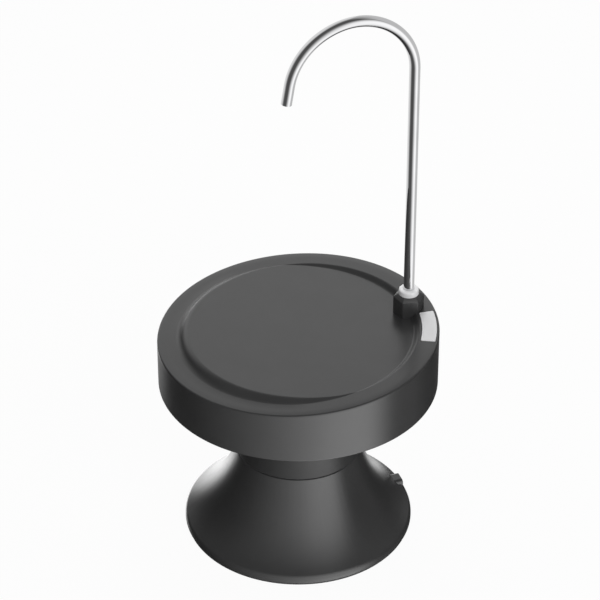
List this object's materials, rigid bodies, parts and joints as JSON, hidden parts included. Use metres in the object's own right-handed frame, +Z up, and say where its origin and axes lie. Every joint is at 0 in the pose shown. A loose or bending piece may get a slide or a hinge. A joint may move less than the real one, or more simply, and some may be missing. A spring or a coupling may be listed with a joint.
{
  "type": "water jug pump",
  "caption": "Battery water pump for a jug's neck: flared foot, collar, round cup tray with slanted rim, swivelling steel gooseneck spout and a pressed key beside it.",
  "frame": {"origin": "middle of the underside of the soft ring that the foot stands on", "axes": "+Z up along the axis of foot and tray, +Y from that axis towards the spout, +X to the key's side"},
  "size_m": [0.21, 0.21, 0.428],
  "materials": {
    "charcoal_plastic": "satin moulded",
    "black_plastic": "satin moulded",
    "inner_plastic": "plain moulded",
    "grey_bushing": "satin",
    "polished_steel": "polished",
    "key_plastic": "satin",
    "soft_rubber": "matte",
    "hose_silicone": "translucent white",
    "plain_steel": "plated",
    "copper_winding": "enamelled copper",
    "circuit_board": "solder mask",
    "cell_wrap": "shrink sleeve",
    "wire_cover": "matte"
  },
  "bodies": {
    "pump_body": {"flared_base": "charcoal_plastic", "foot_ring": "soft_rubber", "neck_sleeve": "black_plastic", "pump_deck": "black_plastic", "neck_seal": "soft_rubber", "neck_collar": "charcoal_plastic", "inlet_gasket": "soft_rubber", "inlet_spigot": "inner_plastic", "pump_cover": "inner_plastic", "pump_housing": "inner_plastic", "motor_can": "plain_steel", "delivery_hose": "hose_silicone", "hose_clips": "plain_steel", "tray_cover": "charcoal_plastic", "tray_bottom": "black_plastic", "spout_socket": "black_plastic", "socket_nut": "black_plastic", "spout_elbow": "inner_plastic", "spout_seal": "soft_rubber", "key_switch": "inner_plastic", "control_board": "circuit_board", "battery_holder": "inner_plastic", "battery_cells": "cell_wrap", "charge_board": "circuit_board", "charge_receptacle": "plain_steel", "charge_lead": "wire_cover", "motor_lead": "wire_cover", "battery_lead": "wire_cover", "base_screws": "plain_steel", "collar_screws": "plain_steel", "tray_screws": "plain_steel", "pump_screws": "plain_steel", "motor_screws": "plain_steel", "board_screws": "plain_steel"},
    "rotor": {"impeller": "inner_plastic", "motor_shaft": "plain_steel", "motor_armature": "copper_winding"},
    "swivel": {"spout_bushing": "grey_bushing"},
    "gooseneck": {"spout_tube": "polished_steel"},
    "key": {"dispense_key": "key_plastic"}
  },
  "joints": [
    {"name": "motor_spin", "type": "hinge", "parent": "pump_body", "child": "rotor", "pos_m": [0, 0, 0.1], "axis": [0, 0, 1], "continuous": true},
    {"name": "spout_swivel", "type": "hinge", "parent": "pump_body", "child": "swivel", "pos_m": [0, 0.0866, 0.1888], "axis": [0, 0, 1], "continuous": true},
    {"name": "spout_lift", "type": "slide", "parent": "swivel", "child": "gooseneck", "axis": [0, 0, 1], "range_m": [0, 0.04]},
    {"name": "key_press", "type": "slide", "parent": "pump_body", "child": "key", "axis": [0, 0.0489, -0.9988], "range_m": [0, 0.001], "stiffness_N_per_m": 1500, "springref_m": -0.0005}
  ]
}
